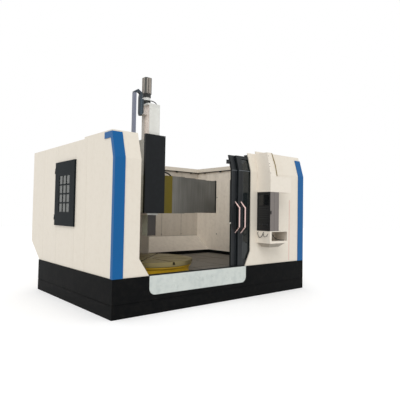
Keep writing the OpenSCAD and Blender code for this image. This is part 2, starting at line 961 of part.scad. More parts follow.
module tool_block() {
    color("#3a3836") translate([table_x, ram_y + ram_d / 2, (tool_low + ram_low) / 2])
        cube([tool_w, tool_w, ram_low - tool_low], center = true);
}

// Section of the motor's body: a square with bevelled corners and grooves
module motor_outline() {
    half = motor_w / 2;
    flat = half - motor_bevel;
    difference() {
        polygon([[-half, -flat], [-flat, -half], [flat, -half], [half, -flat],
                 [half, flat], [flat, half], [-flat, half], [-half, flat]]);
        for (turn = [0:90:270], k = [0:groove_n - 1]) rotate(turn)
            translate([half - groove_d, (k - (groove_n - 1) / 2) * 2.6 * groove_w])
                square([2 * groove_d, groove_w], center = false);
    }
}

// Servo motor on its plate, adapter, collar and flange
module servo_motor() {
    x = motor_x - motor_w / 2;
    y = motor_y - motor_w / 2;
    neck_z = top_plate + adapter_h;
    translate([0, 0, ram_top]) {
        color("#d8d8d2") block(x, ram_y, 0, ram_x + ram_w - x, y + motor_w - ram_y, top_plate);
        translate([motor_x, motor_y, 0]) {
            color("#26282a") translate([0, 0, top_plate]) cylinder(r = motor_w / 2, h = adapter_h);
            color("#d8d8d2") translate([0, 0, neck_z]) cylinder(r = motor_w / 2 - 8, h = neck_h);
            color("#26282a") translate([0, 0, neck_z + neck_h])
                cylinder(r = motor_w / 2 + 4, h = flange_h, $fn = 8);
            color("#4a4a46") translate([0, 0, neck_z + neck_h + flange_h])
                linear_extrude(motor_h) motor_outline();
        }
    }
}

// Cable chain: an angular loop from inside the post to a strip and a duct on the ram
module cable_chain() {
    y = post_y + (post_d - chain_w) / 2;
    turn_x = chain_x + chain_r;
    free_x = turn_x + chain_r - chain_h / 2;
    strip_x = free_x + chain_h;
    out = chain_r + chain_h / 2;
    in = chain_r - chain_h / 2;
    color("#2c3a44") {
        along_y(y, chain_w) translate([turn_x, 0]) polygon([
            [-out, chain_low], [-out, loop_z + out / 2], [0, loop_z + out * 1.15],
            [out, loop_z + out / 2], [out, chain_end], [in, chain_end],
            [in - end_wide, chain_end + chain_h], [in - end_wide, loop_z - chain_h],
            [in, loop_z + in / 2], [0, loop_z + in * 1.15], [-in, loop_z + in / 2],
            [-in, chain_low]
        ]);
        block(strip_x, y, chain_end + strip_t, strip_t, chain_w,
              loop_z - chain_r - chain_end - strip_t);
        block(strip_x, y, chain_end + strip_t, ram_x - strip_x, ram_y + ram_d - y, plate_t);
        block(ram_x - duct_w, ram_y + ram_d - duct_d, duct_low, duct_w, duct_d,
              chain_end + duct_over + strip_t - duct_low);
    }
}

// Tall riser from the arm up to the roof line, narrower at its top
module panel_riser() {
    color("#d8d2c4") intersection() {
        along_y(panel_y, front_y + lean - panel_y) polygon([
            [panel_x, arm_top], [panel_x + riser_low_w, arm_top],
            [panel_x + riser_top_w, riser_top], [panel_x, riser_top]
        ]);
        along_x(panel_x, riser_low_w) polygon([
            [panel_y, arm_top], [panel_y + riser_back, riser_top],
            [front_y + lean_at(riser_top) - seat_gap, riser_top],
            [front_y - seat_gap, bend_z], [front_y - seat_gap, arm_top]
        ]);
    }
}

module panel_arm() {
    color("#d8d2c4") block(panel_x, panel_y, arm_low, arm_w, front_y - panel_y, arm_h);
}

// Pendant with a dark screen side and a grey front, hung from the arm
module operator_panel() {
    color("#26282a") block(panel_x, panel_y, pendant_low, pendant_w, front_y - panel_y,
                           arm_low - pendant_low);
}

// Open-fronted shelf box under the pendant, on a tray with a sloped underside
module keyboard_shelf() {
    low = shelf_low - tray_h;
    slope = 100;
    edge = 20;
    color("#d8d2c4") {
        difference() {
            block(panel_x, panel_y, shelf_low, shelf_w, front_y - panel_y, shelf_h);
            block(panel_x + mouth_in, panel_y - 1, shelf_low + shelf_t,
                  shelf_w - mouth_in - shelf_t, front_y - panel_y - shelf_t,
                  shelf_h - 2 * shelf_t);
        }
        block(panel_x, panel_y, low, shelf_w, front_y - panel_y, tray_h);
        intersection() {
            along_x(panel_x, shelf_w) polygon([
                [panel_y + edge, low], [panel_y + edge + slope, low - tray_drop],
                [front_y, low - tray_drop], [front_y, low]
            ]);
            along_y(panel_y, front_y - panel_y) polygon([
                [panel_x + edge, low], [panel_x + edge + slope, low - tray_drop],
                [panel_x + shelf_w - edge - slope, low - tray_drop],
                [panel_x + shelf_w - edge, low]
            ]);
        }
    }
}

base_plinth();
skirt_front();
skirt_rear();
side_skirts();
chip_deck();
apron_plate();
left_front_panel();
right_front_panel();
left_side_panels();
hatch_surround();
right_side_panel();
rear_slope();
rear_panel_left();
rear_panel_middle();
rear_panel_right();
top_rails();
left_corner_trim();
right_corner_trim();
hatch_hinges();
door_rail();
door_guide();
table_base();
column();
column_sheets();
cross_beam();
beam_end_plates();
cover_right_4();
cover_left_4();
panel_riser();
panel_arm();
operator_panel();
keyboard_shelf();
table_disc();
table_face();
saddle_plate();
ram_tower();
ram_guides();
ram_cover();
chain_post();
cover_right_1();
cover_left_1();
cover_right_2();
cover_right_3();
cover_left_2();
cover_left_3();
ram_column();
tool_block();
servo_motor();
cable_chain();
inner_door_frame();
inner_door_glass();
inner_door_handle();
outer_door_frame();
outer_door_glass();
outer_door_handle();
hatch_leaf();
hatch_glass();
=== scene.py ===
"""Looks of a CNC vertical lathe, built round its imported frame.

Lengths are in metres. X runs to the right along the front, Y to the rear and Z up.
"""

import math

import bpy
import numpy as np
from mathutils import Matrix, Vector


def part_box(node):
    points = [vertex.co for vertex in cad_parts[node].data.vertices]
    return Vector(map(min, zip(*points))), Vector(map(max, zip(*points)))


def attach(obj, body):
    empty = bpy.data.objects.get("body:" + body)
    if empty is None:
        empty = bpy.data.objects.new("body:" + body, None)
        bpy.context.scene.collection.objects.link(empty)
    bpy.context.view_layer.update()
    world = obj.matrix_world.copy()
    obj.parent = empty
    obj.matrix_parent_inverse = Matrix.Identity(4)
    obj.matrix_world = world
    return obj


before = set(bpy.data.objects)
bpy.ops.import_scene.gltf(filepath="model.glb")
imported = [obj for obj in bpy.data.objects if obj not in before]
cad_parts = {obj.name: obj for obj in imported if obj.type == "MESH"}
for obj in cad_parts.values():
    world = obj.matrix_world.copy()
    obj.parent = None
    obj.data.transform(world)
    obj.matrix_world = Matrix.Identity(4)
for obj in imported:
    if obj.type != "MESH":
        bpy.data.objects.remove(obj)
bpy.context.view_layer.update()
scene = bpy.context.scene
scene.view_settings.view_transform = "Standard"

# The view: it looks from before the machine's left corner, at a standing eye's height.
# The shift only brings the machine to its place in a picture of 400 by 400 pixels.
EYE = (-4.8039, -6.5953, 1.4860)
YAW = math.radians(41.079)
PITCH = math.radians(2.195)
ROLL = math.radians(0.921)
FOCAL_PX = 416.30
CENTRE_PX = (213.03, 196.14)
FRAME_PX = 400
SENSOR_MM = 36


def camera_axes(yaw, pitch, roll):
    """Columns of the camera's turn: right, up and back, from its heading and its roll."""
    ahead = np.array([math.sin(yaw) * math.cos(pitch), math.cos(yaw) * math.cos(pitch), math.sin(pitch)])
    right = np.array([math.cos(yaw), -math.sin(yaw), 0.0])
    up = np.cross(right, ahead)
    tilted_right = right * math.cos(roll) + up * math.sin(roll)
    tilted_up = up * math.cos(roll) - right * math.sin(roll)
    return np.column_stack([tilted_right, tilted_up, -ahead])


camera = bpy.data.objects.new("camera", bpy.data.cameras.new("camera"))
camera.data.sensor_width = SENSOR_MM
camera.data.lens = SENSOR_MM * FOCAL_PX / FRAME_PX
camera.data.shift_x = (FRAME_PX / 2 - CENTRE_PX[0]) / FRAME_PX
camera.data.shift_y = (CENTRE_PX[1] - FRAME_PX / 2) / FRAME_PX
stand = np.eye(4)
stand[:3, :3] = camera_axes(YAW, PITCH, ROLL)
stand[:3, 3] = EYE
camera.matrix_world = stand.T.tolist()
scene.collection.objects.link(camera)
scene.camera = camera


# The stage: a plain pale floor under a white sky, with one broad soft lamp high on the
# left. Sky and floor are paler to the camera than the light that they give.
SKY_LEVEL = 0.74
LAMP_LEVEL = 1.2
LAMP_SPREAD = math.radians(40)
LAMP_TURN = (math.radians(46), 0, math.radians(-41))
FLOOR_HALF = 30
FLOOR_GREY = 0.93
FLOOR_GLOW = 0.16
WHITE = (1, 1, 1, 1)


def add(tree, kind, inputs=None, **settings):
    """Add a node with its settings; an input is a value or the output that feeds it."""
    made = tree.nodes.new(kind)
    for name, value in settings.items():
        setattr(made, name, value)
    for name, value in (inputs or {}).items():
        if isinstance(value, bpy.types.NodeSocket):
            tree.links.new(value, made.inputs[name])
        else:
            made.inputs[name].default_value = value
    return made


world = bpy.data.worlds.new("white_sky")
scene.world = world
world.use_nodes = True
sky = world.node_tree
sky.nodes.clear()
rays = add(sky, "ShaderNodeLightPath").outputs
seen = add(sky, "ShaderNodeMath", {0: rays["Is Camera Ray"], 1: rays["Is Glossy Ray"]}, operation="MAXIMUM")
seen = add(sky, "ShaderNodeMath", {0: seen.outputs[0], 1: rays["Is Transmission Ray"]}, operation="MAXIMUM")
lit = add(sky, "ShaderNodeBackground", {"Color": WHITE, "Strength": SKY_LEVEL})
white = add(sky, "ShaderNodeBackground", {"Color": WHITE, "Strength": 1.0})
both = add(sky, "ShaderNodeMixShader", {0: seen.outputs[0], 1: lit.outputs[0], 2: white.outputs[0]})
add(sky, "ShaderNodeOutputWorld", {"Surface": both.outputs[0]})

lamp = bpy.data.objects.new("soft_lamp", bpy.data.lights.new("soft_lamp", "SUN"))
lamp.data.energy = LAMP_LEVEL
lamp.data.angle = LAMP_SPREAD
lamp.rotation_euler = LAMP_TURN
scene.collection.objects.link(lamp)

floor_mesh = bpy.data.meshes.new("floor")
corners = np.array([(-1, -1, 0), (1, -1, 0), (1, 1, 0), (-1, 1, 0)]) * FLOOR_HALF
floor_mesh.from_pydata(corners.tolist(), [], [(0, 1, 2, 3)])
floor = bpy.data.objects.new("floor", floor_mesh)
scene.collection.objects.link(floor)
floor_paint = bpy.data.materials.new("pale_floor_paint")
floor_paint.use_nodes = True
paint = floor_paint.node_tree
paint.nodes.clear()
rays = add(paint, "ShaderNodeLightPath").outputs
matt = add(paint, "ShaderNodeBsdfDiffuse", {"Color": (FLOOR_GREY, FLOOR_GREY, FLOOR_GREY, 1)})
glow = add(paint, "ShaderNodeEmission", {"Color": WHITE, "Strength": FLOOR_GLOW})
paler = add(paint, "ShaderNodeAddShader", {0: matt.outputs[0], 1: glow.outputs[0]})
both = add(paint, "ShaderNodeMixShader", {0: rays["Is Camera Ray"], 1: matt.outputs[0], 2: paler.outputs[0]})
add(paint, "ShaderNodeOutputMaterial", {"Surface": both.outputs[0]})
floor_mesh.materials.append(floor_paint)


# The base: a welded steel frame with a bolted skirt round it, sprayed with black enamel
# that has gathered a little dust. The chip deck inside is laid from plates that butt at
# dark joints, and is trodden bare.
CLOUD_MM = 454.5  # breadth of the paler and darker clouds in a sprayed coat
DUST_MM = 71.43  # breadth of a patch of dust
RUN_MM = 111.1  # distance between two runs of dirt or coolant
EVEN = (1.0, 1.0, 1.0)
UPRIGHT = (1.0, 1.0, 0.06)


def linear(code):
    """An sRGB hex colour as linear numbers with full alpha."""
    parts = [int(code[i : i + 2], 16) / 255 for i in (1, 3, 5)]
    return (*[c / 12.92 if c <= 0.04045 else ((c + 0.055) / 1.055) ** 2.4 for c in parts], 1.0)


def finish(name, build):
    """A material whose surface is a Principled shader that build(tree, shader) sets up."""
    made = bpy.data.materials.new(name)
    made.use_nodes = True
    inner = made.node_tree
    inner.nodes.clear()
    shader = add(inner, "ShaderNodeBsdfPrincipled")
    add(inner, "ShaderNodeOutputMaterial", {"Surface": shader.outputs[0]})
    build(inner, shader)
    return made


def patches(tree, size_mm, detail=4.0, stretch=EVEN):
    """Soft patches of about that size on object coordinates, longer where stretch is small."""
    place = add(tree, "ShaderNodeTexCoord").outputs["Object"]
    scaled = add(tree, "ShaderNodeMapping", {"Vector": place, "Scale": stretch}).outputs[0]
    inputs = {"Vector": scaled, "Scale": 1000 / size_mm, "Detail": detail}
    return add(tree, "ShaderNodeTexNoise", inputs).outputs["Fac"]


def enamel(
    name, code, roughness, mottle=0.05, grain_mm=4.0, depth_mm=0.05,
    dust="#b8ae9e", dusty=0.0, runs=0.0, gloss=0.5,
):
    """Sprayed enamel: an even colour, a faint cloudiness, orange peel, dust and runs.

    The colour runs from (1 - mottle) to (1 + mottle) times the given one with the cloud.
    Dust settles in round patches and runs in upright streaks, up to their shares.
    """

    def build(tree, shader):
        cloud = patches(tree, CLOUD_MM, 5.0)
        base = np.array(linear(code)[:3])
        darker = (*(base * (1 - mottle)).tolist(), 1.0)
        lighter = (*np.minimum(base * (1 + mottle), 1).tolist(), 1.0)
        # A Mix node holds its two colours in inputs 6 and 7, and gives its colour in output 2.
        tone = add(tree, "ShaderNodeMix", {0: cloud, 6: darker, 7: lighter}, data_type="RGBA").outputs[2]
        marks = ((dusty, DUST_MM, 8.0, EVEN, 0.45, 0.8), (runs, RUN_MM, 4.0, UPRIGHT, 0.42, 0.75))
        for share, size_mm, detail, stretch, none, full in marks:
            if share:
                mark = {"Value": patches(tree, size_mm, detail, stretch), "From Min": none, "From Max": full}
                mark = add(tree, "ShaderNodeMapRange", {**mark, "To Max": share}).outputs[0]
                mixed = add(tree, "ShaderNodeMix", {0: mark, 6: tone, 7: linear(dust)}, data_type="RGBA")
                tone = mixed.outputs[2]
        tree.links.new(tone, shader.inputs["Base Color"])
        dull = {"Value": cloud, "To Min": roughness - 0.05, "To Max": roughness + 0.05}
        tree.links.new(add(tree, "ShaderNodeMapRange", dull).outputs[0], shader.inputs["Roughness"])
        shader.inputs["Specular IOR Level"].default_value = gloss
        peel = patches(tree, grain_mm, 2.0)
        bump = add(tree, "ShaderNodeBump", {"Height": peel, "Strength": 0.25, "Distance": depth_mm / 1000})
        tree.links.new(bump.outputs[0], shader.inputs["Normal"])

    return finish(name, build)


def dress(material, *names):
    """Give CAD nodes a finish in place of the plain one they came with."""
    for name in names:
        slots = bpy.data.objects[name].data.materials
        slots.clear()
        slots.append(material)


def blocks(boxes):
    """Boxes from their lowest and highest corners: each of the eight corners takes the
    low or the high number of its box along X, Y and Z."""
    boxes = np.asarray(boxes, float).reshape(-1, 2, 3)
    pick = np.array([(i & 1, i >> 1 & 1, i >> 2 & 1) for i in range(8)])
    points = boxes[:, pick, np.arange(3)]
    sides = np.array([(0, 2, 3, 1), (4, 5, 7, 6), (0, 1, 5, 4), (2, 6, 7, 3), (0, 4, 6, 2), (1, 3, 7, 5)])
    faces = sides[None] + 8 * np.arange(len(boxes))[:, None, None]
    return points.reshape(-1, 3), faces.reshape(-1, 4).tolist()


def piece(name, shapes, material, body, smooth=False, bevel=0.0):
    """One mesh from several shapes, finished, and riding on its body."""
    points, faces, count = [], [], 0
    for shape_points, shape_faces in shapes:
        points.append(np.asarray(shape_points, float))
        faces += [[index + count for index in face] for face in shape_faces]
        count += len(shape_points)
    mesh = bpy.data.meshes.new(name)
    mesh.from_pydata(np.concatenate(points).tolist(), [], faces)
    if smooth:
        mesh.polygons.foreach_set("use_smooth", [len(face) == 4 for face in faces])
    mesh.materials.append(material)
    made = bpy.data.objects.new(name, mesh)
    scene.collection.objects.link(made)
    if bevel:
        rounding = made.modifiers.new("rounding", "BEVEL")
        rounding.width = bevel
        rounding.segments = 2
        rounding.limit_method = "ANGLE"
    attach(made, body)
    return made


# Nearly black and dull, so that the base reads as one dark band with dusty patches.
black_enamel = enamel("satin_black_enamel", "#0c0d0e", 0.6, 0.2, dust="#2d2a26", dusty=0.2, gloss=0.06)
dress(black_enamel, "base_plinth", "skirt_front", "skirt_rear", "side_skirts")
# A brown grey that is worn unevenly pale by feet and chips.
deck_paint = enamel("trodden_deck_paint", "#514d46", 0.5, 0.15, dust="#777062", dusty=0.5)
dress(deck_paint, "chip_deck")

DECK_X = (-0.05, 0.66, 1.37)  # places of the joints that run to the rear
DECK_Y = (-0.62, 0.38)  # places of the joints that run to the right
DECK_JOINT, DECK_JOINT_OUT = 0.006, 0.0008
deck_low, deck_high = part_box("chip_deck")
joint_foot, joint_head = deck_high.z - DECK_JOINT_OUT, deck_high.z + DECK_JOINT_OUT
joint_front, joint_rear, joint_right = deck_low.y - 0.010, deck_high.y - 0.010, deck_high.x - 0.020
deck_joints = [((x, joint_front, joint_foot), (x + DECK_JOINT, joint_rear, joint_head)) for x in DECK_X]
deck_joints += [((DECK_X[0], y, joint_foot), (joint_right, y + DECK_JOINT, joint_head)) for y in DECK_Y]
piece("deck_joints", [blocks(deck_joints)], black_enamel, "root")


# The room: folded sheet-steel panels with an off-white powder coat, screwed to each
# other at narrow joints. Rubber seals, which also give the painted shade under its top
# rails, and clips run under the rails, and a painted red line runs down the right front.
SEAM = 0.003
PROUD = 0.0006  # how far a drawn joint or line stands out, so that it shows
SEAM_TOP = 2.585
FRONT_SEAM_Y, RIGHT_SEAM_Y, REAR_SEAM_Y = -0.52, 0.40, 1.30


def painted_by(name, materials, choose):
    """Finish a CAD node face by face: choose() takes the arrays of face middles and
    face directions, and gives each face its place in materials."""
    mesh = bpy.data.objects[name].data
    mesh.materials.clear()
    for material in materials:
        mesh.materials.append(material)
    middles = np.empty(len(mesh.polygons) * 3)
    facing = np.empty(len(mesh.polygons) * 3)
    mesh.polygons.foreach_get("center", middles)
    mesh.polygons.foreach_get("normal", facing)
    picked = choose(middles.reshape(-1, 3), facing.reshape(-1, 3)).astype(np.int32)
    mesh.polygons.foreach_set("material_index", picked)


# Warm off-white with a soft shine, even enough to show the panels' folds by light alone.
powder_coat = enamel("off_white_powder_coat", "#e1d9cb", 0.42, 0.015, dust="#c9bda9", dusty=0.18, runs=0.06)
dress(powder_coat, "left_front_panel", "right_front_panel", "left_side_panels", "hatch_surround")
dress(powder_coat, "top_rails", "column_sheets")
# The same coat inside the room, greyed as painted shade and streaked by coolant.
shaded_splashed_coat = enamel(
    "splashed_and_shaded_off_white_coat", "#c6bdb0", 0.34, 0.04, dust="#8d8374", dusty=0.25, runs=0.16
)
for rear_node in ("rear_panel_left", "rear_panel_middle", "rear_panel_right", "rear_slope"):
    painted_by(rear_node, [powder_coat, shaded_splashed_coat], lambda middles, facing: facing[:, 1] < -0.3)
# The right wall's inside is painted paler than the room's coat, as painted light on the wall that faces the
# lamp, with the same streaks.
lit_side_coat = enamel("lit_streaked_off_white_coat", "#efe6d8", 0.34, 0.04, dust="#9a8f7f", dusty=0.2, runs=0.16)
painted_by("right_side_panel", [powder_coat, lit_side_coat], lambda middles, facing: facing[:, 0] < -0.9)

# Outer joints are painted over and barely darker than the wall.
faint_joint = enamel("painted_over_joint", "#cbc2b3", 0.6)
wall_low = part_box("left_side_panels")[0]
hatch_frame_low, hatch_frame_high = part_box("hatch_surround")
right_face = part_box("right_side_panel")[1].x
outer_seams = [
    ((wall_low.x - PROUD, y - SEAM / 2, wall_low.z), (wall_low.x, y + SEAM / 2, SEAM_TOP))
    for y in (FRONT_SEAM_Y, hatch_frame_low.y, hatch_frame_high.y, REAR_SEAM_Y)
]
outer_seams += [
    ((right_face, y - SEAM / 2, wall_low.z), (right_face + PROUD, y + SEAM / 2, SEAM_TOP))
    for y in (FRONT_SEAM_Y, RIGHT_SEAM_Y, REAR_SEAM_Y)
]
piece("outer_wall_joints", [blocks(outer_seams)], faint_joint, "root")

# Inner joints hold a dark sealant, which draws the lines of the rear wall's sheets.
joint_dark = enamel("dark_joint_sealant", "#4a443b", 0.7)
REAR_JOINTS = (-1.43, -0.25, 0.335, 0.924, 1.512)
SLOPE_JOINT_END = 2.03
JOINT_DROP = 0.13  # the upright joints end this far under the wall's top, behind the rail
rear_low, rear_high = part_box("rear_panel_middle")
rear_face = rear_low.y
joint_top = rear_high.z - JOINT_DROP
joint_y, joint_low = rear_face - PROUD, rear_low.z
inner_seams = [((x - SEAM, joint_y, joint_low), (x + SEAM, rear_face, joint_top)) for x in REAR_JOINTS]
slope_joint_end = (SLOPE_JOINT_END, rear_face, joint_low + 2 * SEAM)
inner_seams += [((-SLOPE_JOINT_END, joint_y, joint_low), slope_joint_end)]
piece("inner_wall_joints", [blocks(inner_seams)], joint_dark, "root")

# Black rubber, dull and a little dusty. Its strips under the rails are seals whose dark line also stands for
# the shade under the rails: painted shade.
rubber = enamel("black_rubber", "#17181a", 0.75, 0.1)
LIP_W, LIP_H = 0.030, 0.014
CLIP_HALF, CLIP_OUT, CLIP_H = 0.020, 0.045, 0.034
rails_low, rails_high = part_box("top_rails")
lip_z, rail_z = rails_low.z - LIP_H, rails_low.z
rail_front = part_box("left_front_panel")[1].y
# The strips under the rails: seals, drawn black as painted shade under the rails too.
rail_seal_and_shade_lips = [
    ((rails_low.x + 0.05, rear_face - LIP_W, lip_z), (rails_high.x - 0.05, rear_face, rail_z)),
    ((rails_low.x, rail_front + LIP_W, lip_z), (rails_low.x + LIP_W, rear_face, rail_z)),
    ((rails_high.x - LIP_W, rail_front + LIP_W, lip_z), (rails_high.x, rear_face, rail_z)),
]
piece("rail_seals_and_shade_line", [blocks(rail_seal_and_shade_lips)], rubber, "root")
clip_z = rail_z - CLIP_H
clips = [
    ((x - CLIP_HALF, rear_face - CLIP_OUT, clip_z), (x + CLIP_HALF, rear_face, rail_z))
    for x in np.linspace(rails_low.x + 0.25, rails_high.x - 0.25, 9)
]
clips += [
    ((rails_high.x - CLIP_OUT, y - CLIP_HALF, clip_z), (rails_high.x, y + CLIP_HALF, rail_z))
    for y in np.linspace(rail_front + 0.5, rear_face - 0.3, 5)
]
piece("rail_clips", [blocks(clips)], rubber, "root", bevel=0.003)


def circle(radius, count=16):
    """Points of a circle: radius times the cosine and the sine of even steps round it."""
    turn = np.arange(count) * (2 * np.pi / count)
    return np.column_stack([np.cos(turn), np.sin(turn)]) * radius


def carried(profile, path, level=(0.0, 0.0, 1.0), sizes=None):
    """A profile carried along a path: each path point plus the profile's two numbers
    times the path's side and lift directions there, with a flat cap on both ends."""
    profile, path = np.asarray(profile, float), np.asarray(path, float)
    count, edge = len(path), len(profile)
    ahead = np.gradient(path, axis=0)
    ahead /= np.linalg.norm(ahead, axis=1, keepdims=True)
    side = np.cross(np.asarray(level, float), ahead)
    side /= np.linalg.norm(side, axis=1, keepdims=True)
    lift = np.cross(ahead, side)
    size = np.ones(count) if sizes is None else np.asarray(sizes, float)
    offset = profile[None, :, :1] * side[:, None, :] + profile[None, :, 1:] * lift[:, None, :]
    points = path[:, None, :] + size[:, None, None] * offset
    start = np.arange(count - 1)[:, None] * edge
    here = np.arange(edge)[None, :]
    after = (here + 1) % edge
    skin = np.stack([start + here, start + after, start + edge + after, start + edge + here], axis=-1)
    caps = [np.arange(edge)[::-1].tolist(), (np.arange(edge) + (count - 1) * edge).tolist()]
    return points.reshape(-1, 3), skin.reshape(-1, 4).tolist() + caps


def studs(places, radius, height, axis, count=12):
    """Round heads: at each place a circle carried along one axis, smaller at its end."""
    along = np.eye(3)[axis] * height
    level = np.eye(3)[(axis + 1) % 3]
    rise = np.array([0.0, 0.7, 1.0])[:, None] * along
    return [carried(circle(radius, count), np.array(place) + rise, level, (1, 1, 0.75)) for place in places]


# Zinc plate on the screws: a dull grey that is darker than the wall.
zinc = enamel("zinc_plated_steel", "#6f6c65", 0.38, 0.2)
SCREW_R, SCREW_H = 0.014, 0.008
REAR_SCREW_Z = (0.93, 1.50, 2.10)
SIDE_SCREW_Y, SIDE_SCREW_Z = (-0.90, 0.10, 1.10), (0.95, 1.85)
side_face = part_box("right_side_panel")[0].x
rear_screws = [(x, rear_face, z) for x in REAR_JOINTS for z in REAR_SCREW_Z]
side_screws = [(side_face, y, z) for y in SIDE_SCREW_Y for z in SIDE_SCREW_Z]
for screws_name, places, axis in (("rear_wall_screws", rear_screws, 1), ("side_wall_screws", side_screws, 0)):
    piece(screws_name, studs(places, SCREW_R, -SCREW_H, axis), zinc, "root", smooth=True)

# A thin faded red, no wider than a pencil.
red_paint = enamel("fine_red_line_paint", "#c9584f", 0.5)
RED_X, RED_LOW, RED_HIGH, RED_W = 1.674, 0.576, 1.747, 0.007
front_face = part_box("right_front_panel")[0].y
red_line = ((RED_X - RED_W / 2, front_face - PROUD, RED_LOW), (RED_X + RED_W / 2, front_face, RED_HIGH))
piece("front_red_line", [blocks([red_line])], red_paint, "root")


# The corner trims: strips of folded sheet steel, screwed over the room's front corners
# from inside. Their enamel is a strong even blue with a soft shine.
blue_enamel = enamel("gloss_blue_enamel", "#005893", 0.3, 0.05, gloss=0.22)
dress(blue_enamel, "left_corner_trim", "right_corner_trim")


# The apron under the doorway: a bright sheet that still wears its pale protective
# film, pressed on by hand. The film is cloudy, and its creases catch the light.
CREASE_COUNT, CREASE_R, CREASE_POINTS = 34, 0.0026, 7
TURN_RANGE, REACH_RANGE = (0.2, 2.9), (0.020, 0.055)
CREASE_BOW = 0.12  # height of a crease's bow, as a share of half its length
MARGIN_X, MARGIN_Z = 0.12, 0.07
film = enamel(
    "pale_protective_film", "#c9cfca", 0.26, 0.06, grain_mm=70, depth_mm=14, dust="#9fabab", dusty=0.4
)
dress(film, "apron_plate")
drawn = np.random.default_rng(7)
apron_low, apron_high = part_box("apron_plate")
crease_x = drawn.uniform(apron_low.x + MARGIN_X, apron_high.x - MARGIN_X, CREASE_COUNT)
crease_z = drawn.uniform(apron_low.z + MARGIN_Z, apron_high.z - MARGIN_Z, CREASE_COUNT)
crease_turn = drawn.uniform(*TURN_RANGE, CREASE_COUNT)
crease_reach = drawn.uniform(*REACH_RANGE, CREASE_COUNT)


def crease(x, z, turn, reach):
    """A raised crease: a thin tube along a turned parabola, reach to both sides of its
    middle, that narrows towards its ends."""
    step = np.linspace(-1, 1, CREASE_POINTS)
    bow = CREASE_BOW * reach * (1 - step**2)
    along_x = x + reach * step * math.cos(turn) - bow * math.sin(turn)
    along_z = z + reach * step * math.sin(turn) + bow * math.cos(turn)
    path = np.column_stack([along_x, np.full(CREASE_POINTS, apron_low.y), along_z])
    return carried(circle(CREASE_R, 8), path, (0, 1, 0), 1 - 0.7 * np.abs(step))


creases = [crease(*one) for one in zip(crease_x, crease_z, crease_turn, crease_reach)]
# The creases are painted a shade greyer than the film, as painted shade along them.
shaded_crease_film = enamel("shaded_creased_film", "#b3bab6", 0.3, 0.1)
piece("film_creases", creases, shaded_crease_film, "root", smooth=True)


# The doors: folded black sheet frames round dark safety glass, hung on a rail behind
# the sill. Each leaf has a bent chrome bar, and the inner one a rubber seal in front.
# Thin pale lines, worn and painted as highlights, show where their sheet is bent and where it ends.
LEAF_W = 1.200
BEND_Z, BEND_HALF = 2.225, 0.004
EDGE_LOW, EDGE_HIGH, EDGE_W = 0.57, 2.215, 0.004
EDGE_PLACES = (0.001, 0.104, 1.092)
SEAL_LOW, SEAL_HIGH, SEAL_IN, SEAL_W, SEAL_D = 1.31, 2.05, 0.010, 0.024, 0.020
FOOT_H, FOOT_OVER = 0.018, 0.001


def tinted(code, roughness, through):
    """A builder for safety glass: smooth, coloured and partly clear."""

    def build(tree, shader):
        shader.inputs["Base Color"].default_value = linear(code)
        shader.inputs["Roughness"].default_value = roughness
        shader.inputs["IOR"].default_value = 1.5
        shader.inputs["Transmission Weight"].default_value = through

    return build


def plated(code, roughness):
    """A builder for a bright metal plate: an even colour with a faint haze."""

    def build(tree, shader):
        shader.inputs["Base Color"].default_value = linear(code)
        shader.inputs["Metallic"].default_value = 1.0
        shader.inputs["Roughness"].default_value = roughness

    return build


def leaf_corner(leaf):
    """X and Y of the left front edge of a leaf's sheet."""
    low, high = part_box(f"{leaf}_frame")
    return high.x - LEAF_W, low.y


# A blue black with a satin shine, greyed a little by dust.
door_coat = enamel("satin_black_powder_coat", "#14181b", 0.4, 0.12, dust="#33363a", dusty=0.2, gloss=0.35)
dress(door_coat, "inner_door_frame", "outer_door_frame", "door_rail", "door_guide")
# Smoked glass: nearly black, with clear reflections.
door_glass = finish("tinted_safety_glass", tinted("#252b2c", 0.05, 0.35))
dress(door_glass, "inner_door_glass", "outer_door_glass")
# Chrome with a faint warm haze.
chrome = finish("chrome_plate", plated("#e2c4bf", 0.2))
dress(chrome, "inner_door_handle", "outer_door_handle")

inner_x, inner_y = leaf_corner("inner_door")
seal_front, seal_rear = inner_y + SEAL_IN, inner_y + SEAL_IN + SEAL_D
seal = ((inner_x - SEAL_W, seal_front, SEAL_LOW), (inner_x, seal_rear, SEAL_HIGH))
piece("door_seal", [blocks([seal])], rubber, "inner_door", bevel=0.003)
# A white nylon foot closes the seal, a little wider than it all round.
nylon_white = enamel("white_nylon", "#d9d6cd", 0.45)
foot_start = (inner_x - SEAL_W - FOOT_OVER, seal_front - FOOT_OVER, SEAL_LOW - FOOT_H)
seal_foot = (foot_start, (inner_x + FOOT_OVER, seal_rear + FOOT_OVER, SEAL_LOW))
piece("door_seal_foot", [blocks([seal_foot])], nylon_white, "inner_door", bevel=0.003)

# Bends are drawn as a mid grey line and edges as a darker one: wear, and a painted highlight along the
# sheet's bends and edges.
worn_highlit_bend = enamel("worn_highlit_black_bend", "#6a7074", 0.4, 0.1)
worn_highlit_edge = enamel("worn_highlit_black_edge", "#454b4e", 0.4, 0.1)
for leaf in ("outer_door", "inner_door"):
    x, y = leaf_corner(leaf)
    bend_end = (x + LEAF_W - BEND_HALF, y, BEND_Z + BEND_HALF)
    bend = ((x + BEND_HALF, y - PROUD, BEND_Z - BEND_HALF), bend_end)
    piece(f"{leaf}_bend", [blocks([bend])], worn_highlit_bend, leaf)
for leaf in ("outer_door", "inner_door"):
    x, y = leaf_corner(leaf)
    edges = [((x + at, y - PROUD, EDGE_LOW), (x + at + EDGE_W, y, EDGE_HIGH)) for at in EDGE_PLACES]
    piece(f"{leaf}_edges", [blocks(edges)], worn_highlit_edge, leaf)


# The side hatch: a black sheet-steel leaf on two lift-off hinges. Its window is a pale
# pane behind a welded grid of two thin uprights and three wider cross bars.
CROSS_BAR, THIN_BAR = 0.024, 0.009
# A green black, duller than the doors.
hatch_coat = enamel("satin_black_hatch_coat", "#10171a", 0.55, 0.08, dust="#2c3031", dusty=0.15, gloss=0.08)
dress(hatch_coat, "hatch_leaf", "hatch_hinges")
